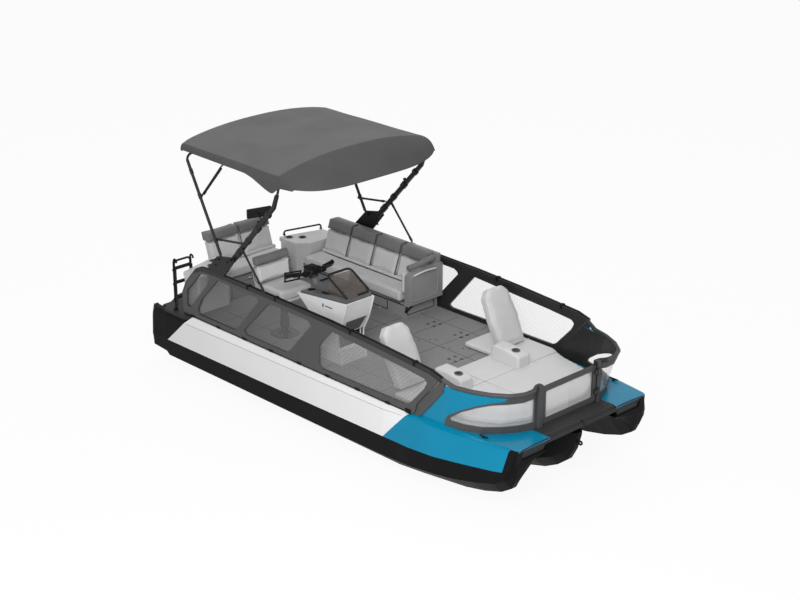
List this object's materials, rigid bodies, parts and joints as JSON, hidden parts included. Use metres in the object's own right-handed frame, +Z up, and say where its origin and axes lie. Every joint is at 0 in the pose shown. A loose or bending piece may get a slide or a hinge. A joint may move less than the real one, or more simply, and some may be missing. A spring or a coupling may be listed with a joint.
{
  "type": "pontoon boat",
  "caption": "Tri-hull jet pontoon boat with a fenced deck, bow gate and sun pads, side lounge, helm console and seat, stern bench, boarding ladder and a folding sunshade.",
  "frame": {"origin": "middle of the keel plane under the boat, at the centre of its length and beam", "axes": "+X to the bow, +Y to port, +Z up"},
  "size_m": [5.85, 2.49, 2.958],
  "materials": {
    "hull_black": "satin",
    "panel_white": "gloss",
    "shroud_teal": "gloss",
    "deck_dark": "satin",
    "floor_grey": "matt",
    "fence_dark": "satin",
    "mesh": "smoked mesh",
    "cushion_light": "matt",
    "cushion_dark": "matt",
    "pad_light": "matt",
    "base_white": "satin",
    "trim_black": "satin",
    "canopy_grey": "matt",
    "screen_tint": "tinted",
    "metal_bright": "brushed",
    "drive_grey": "cast",
    "engine_block": "plain"
  },
  "bodies": {
    "boat": {"hull_port": "hull_black", "hull_starboard": "hull_black", "hull_centre": "hull_black", "side_panels": "panel_white", "bow_shrouds": "shroud_teal", "deck_frame": "deck_dark", "floor_tiles": "floor_grey", "swim_platform": "deck_dark", "bow_step": "deck_dark", "fences": "fence_dark", "fence_mesh": "mesh", "bow_corner_port": "fence_dark", "bow_corner_starboard": "fence_dark", "bow_pads": "pad_light", "bow_backrests": "cushion_light", "bow_armrests": "base_white", "lounge_base": "base_white", "lounge_back": "cushion_light", "lounge_bolster": "cushion_dark", "corner_tables": "base_white", "aft_base": "base_white", "aft_back": "cushion_light", "aft_bolster": "cushion_dark", "stern_rail": "trim_black", "helm_pedestal": "trim_black", "console_body": "base_white", "console_dash": "fence_dark", "windscreen": "screen_tint", "screen_rail": "trim_black", "bimini_brackets": "fence_dark", "deck_cleats": "metal_bright", "engine": "engine_block", "jet_pump": "drive_grey", "intake_grate": "metal_bright"},
    "gate": {"gate_frame": "fence_dark", "gate_mesh": "mesh"},
    "lounge_lid": {"lounge_seat": "cushion_light"},
    "aft_lid": {"aft_seat": "cushion_light"},
    "helm_chair": {"helm_shell": "base_white", "helm_cushion": "cushion_light", "helm_headroll": "cushion_dark"},
    "steering": {"handlebar": "trim_black"},
    "sunshade_main": {"bimini_main": "trim_black", "canopy": "canopy_grey", "mirror": "trim_black"},
    "sunshade_stays": {"bimini_stays": "trim_black"},
    "sunshade_aft": {"bimini_aft": "trim_black"},
    "sunshade_mid": {"bimini_mid": "trim_black"},
    "sunshade_links": {"bimini_links": "trim_black"},
    "boarding_ladder": {"ladder": "trim_black"},
    "nozzle": {"steering_nozzle": "drive_grey"},
    "bucket": {"reverse_bucket": "drive_grey"},
    "impeller_shaft": {"impeller": "metal_bright"}
  },
  "joints": [
    {"name": "gate_swing", "type": "hinge", "parent": "boat", "child": "gate", "pos_m": [2.744, 0.421, 0.9], "axis": [0, 0, 1], "range_deg": [0, 110]},
    {"name": "lounge_lid_lift", "type": "hinge", "parent": "boat", "child": "lounge_lid", "pos_m": [-1.2, 0.814, 1.138], "axis": [-1, 0, 0], "range_deg": [0, 70]},
    {"name": "aft_lid_lift", "type": "hinge", "parent": "boat", "child": "aft_lid", "pos_m": [-2.586, 0, 1.138], "axis": [0, -1, 0], "range_deg": [0, 70]},
    {"name": "helm_seat_swivel", "type": "hinge", "parent": "boat", "child": "helm_chair", "pos_m": [-0.968, -0.74, 1.28], "axis": [0, 0, 1], "range_deg": [-90, 90]},
    {"name": "handlebar_turn", "type": "hinge", "parent": "boat", "child": "steering", "pos_m": [-0.48, -0.7, 1.622], "axis": [-0.4695, 0, 0.8829], "range_deg": [-28, 28]},
    {"name": "nozzle_steer", "type": "hinge", "parent": "boat", "child": "nozzle", "pos_m": [-2.765, 0, 0.175], "axis": [0, 0, 1], "range_deg": [-21, 21]},
    {"name": "reverse_bucket_drop", "type": "hinge", "parent": "boat", "child": "bucket", "pos_m": [-2.72, 0, 0.178], "axis": [0, -1, 0], "range_deg": [0, 55]},
    {"name": "impeller_spin", "type": "hinge", "parent": "boat", "child": "impeller_shaft", "pos_m": [-2.5, 0, 0.175], "axis": [1, 0, 0], "continuous": true},
    {"name": "sunshade_fold", "type": "hinge", "parent": "boat", "child": "sunshade_main", "pos_m": [-1.368, 0, 1.706], "axis": [0, -1, 0], "range_deg": [0, 100], "deforming": ["canopy"]},
    {"name": "sunshade_stay_fold", "type": "hinge", "parent": "sunshade_main", "child": "sunshade_stays", "pos_m": [-1.178, 0, 1.885], "axis": [0, -1, 0], "range_deg": [0, 98]},
    {"name": "sunshade_aft_fold", "type": "hinge", "parent": "boat", "child": "sunshade_aft", "pos_m": [-1.594, 0, 1.655], "axis": [0, -1, 0], "range_deg": [0, 34]},
    {"name": "sunshade_mid_fold", "type": "hinge", "parent": "sunshade_aft", "child": "sunshade_mid", "pos_m": [-1.958, 0, 2.318], "axis": [0, -1, 0], "range_deg": [0, 58]},
    {"name": "sunshade_link_fold", "type": "hinge", "parent": "sunshade_aft", "child": "sunshade_links", "pos_m": [-1.7, 0, 1.849], "axis": [0, -1, 0], "range_deg": [0, 94]},
    {"name": "ladder_drop", "type": "hinge", "parent": "boat", "child": "boarding_ladder", "pos_m": [-2.495, -1.03, 0.784], "axis": [0, -1, 0], "range_deg": [0, 88]}
  ],
  "couplings": [
    {"joint": "nozzle_steer", "follows": "handlebar_turn", "ratio": -0.75},
    {"joint": "sunshade_stay_fold", "follows": "sunshade_fold", "ratio": 0.97},
    {"joint": "sunshade_aft_fold", "follows": "sunshade_fold", "ratio": 0.33},
    {"joint": "sunshade_mid_fold", "follows": "sunshade_fold", "ratio": 0.57},
    {"joint": "sunshade_link_fold", "follows": "sunshade_fold", "ratio": 0.922}
  ]
}
